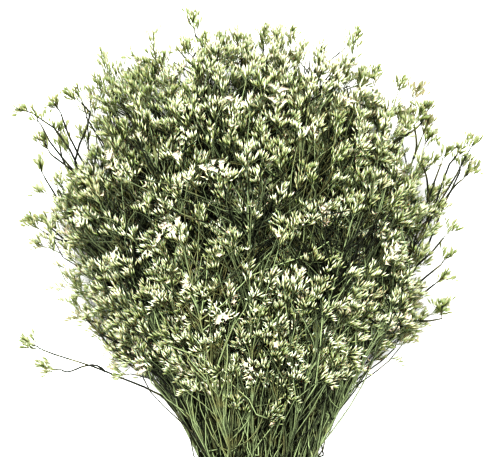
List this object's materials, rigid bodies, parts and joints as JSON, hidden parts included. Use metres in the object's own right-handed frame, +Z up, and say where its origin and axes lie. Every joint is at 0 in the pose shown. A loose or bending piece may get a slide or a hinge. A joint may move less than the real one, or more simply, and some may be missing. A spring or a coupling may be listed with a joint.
{
  "type": "dried statice bunch",
  "caption": "Airy bunch of dried statice lying on its side: thin branching stems tied with twine that fan out to a dense domed head of small pointed cream-green florets.",
  "frame": {"origin": "on the table, under the middle of the bunch's bounding box", "axes": "+Y along the bunch from the cut stems to the flowers, +Z up from the table, +X to the right as the picture shows the bunch"},
  "size_m": [0.3102, 0.4486, 0.1394],
  "materials": {
    "dried_spray": "matte dried plant, grey-green stems and cream florets",
    "jute_twine": "rough natural jute"
  },
  "bodies": {
    "root": {"spray_01": "dried_spray", "spray_02": "dried_spray", "spray_03": "dried_spray", "spray_04": "dried_spray", "spray_05": "dried_spray", "spray_06": "dried_spray", "spray_07": "dried_spray", "spray_08": "dried_spray", "spray_09": "dried_spray", "spray_10": "dried_spray", "spray_11": "dried_spray", "spray_12": "dried_spray", "spray_13": "dried_spray", "spray_14": "dried_spray", "spray_15": "dried_spray", "spray_16": "dried_spray", "spray_17": "dried_spray", "spray_18": "dried_spray", "spray_19": "dried_spray", "spray_20": "dried_spray", "spray_21": "dried_spray", "spray_22": "dried_spray", "spray_23": "dried_spray", "spray_24": "dried_spray", "spray_25": "dried_spray", "spray_26": "dried_spray", "spray_27": "dried_spray", "spray_28": "dried_spray", "spray_29": "dried_spray", "spray_30": "dried_spray", "twine_tie": "jute_twine"}
  },
  "joints": []
}
